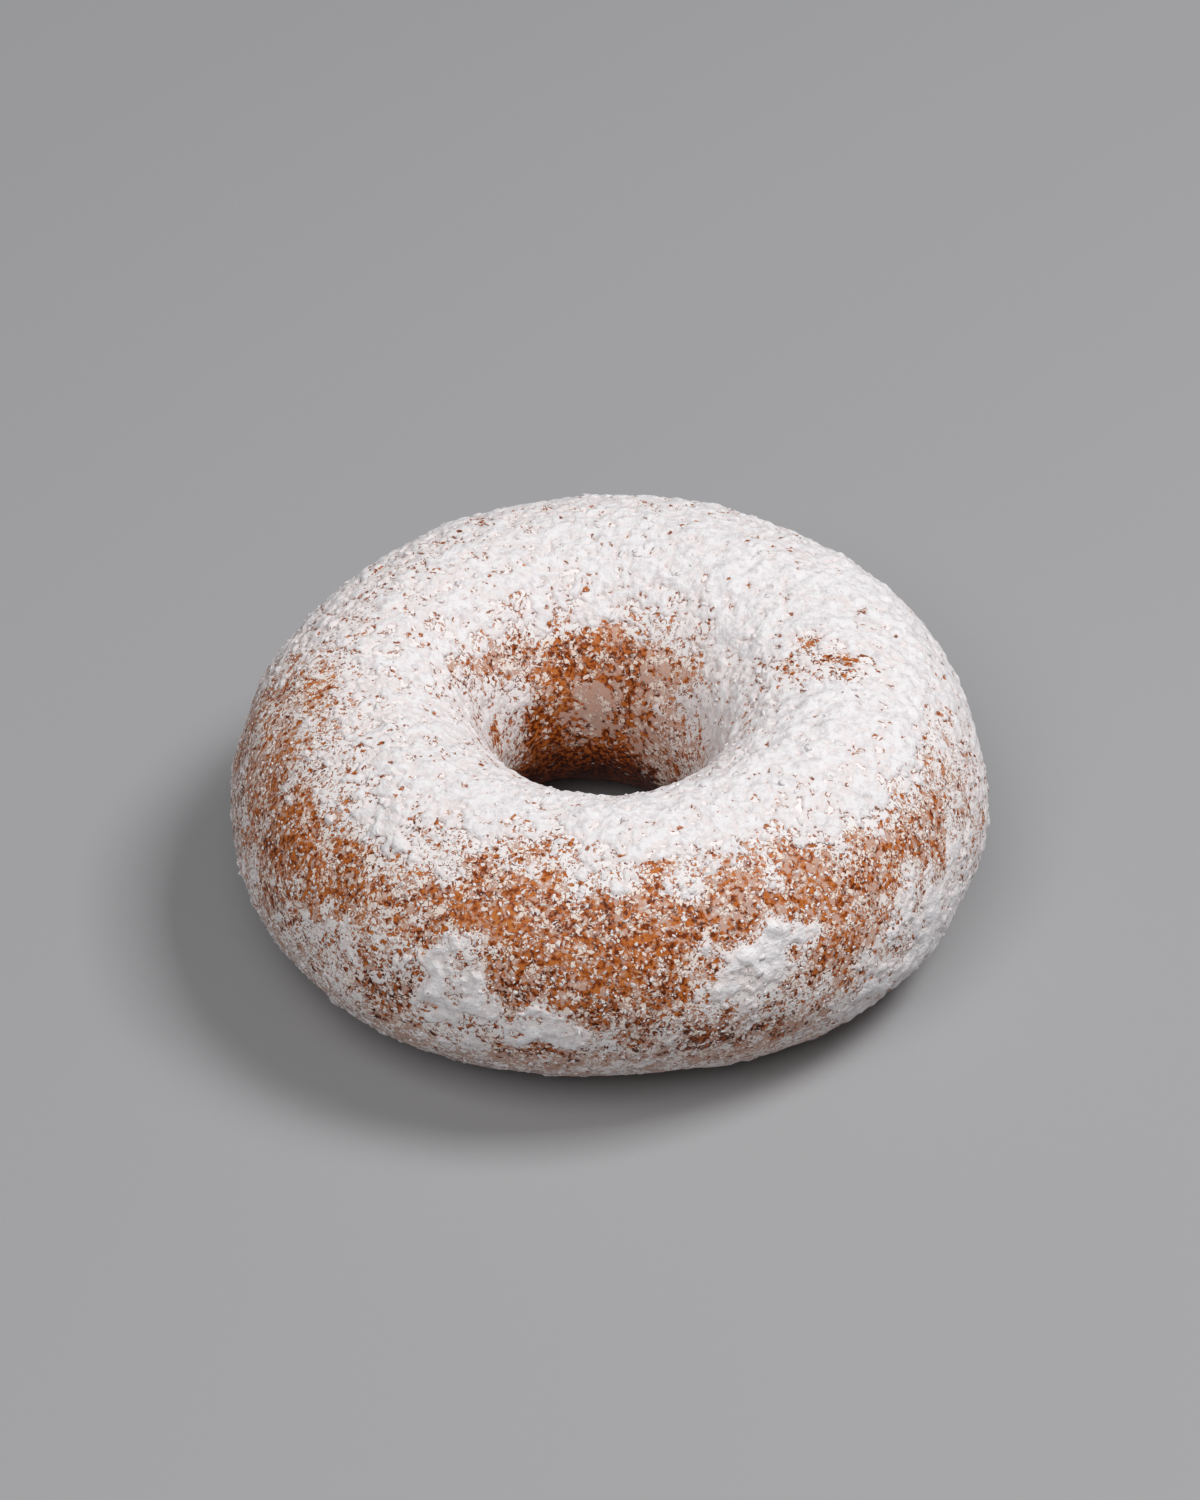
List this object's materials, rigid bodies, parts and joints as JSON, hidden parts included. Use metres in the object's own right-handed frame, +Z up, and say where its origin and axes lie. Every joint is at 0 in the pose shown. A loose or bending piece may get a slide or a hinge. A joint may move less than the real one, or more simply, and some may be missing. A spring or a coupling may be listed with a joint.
{
  "type": "sugar-dusted ring doughnut",
  "caption": "Round fried ring doughnut with a hole through its middle, dusted with icing sugar, lying on its flattened underside.",
  "frame": {"origin": "on the surface it rests on, under the middle of the ring's bounding box", "axes": "+Z up, out of the hole; -Y towards the side that the picture shows in front; +X to that side's right"},
  "size_m": [0.09, 0.0912, 0.0326],
  "materials": {
    "icing_sugar": "dry matte icing sugar, caked on the crown and thin on the flanks",
    "fried_crust": "golden to deep brown fried crust with a faint oily sheen"
  },
  "bodies": {
    "root": {"doughnut": "icing_sugar"}
  },
  "joints": []
}
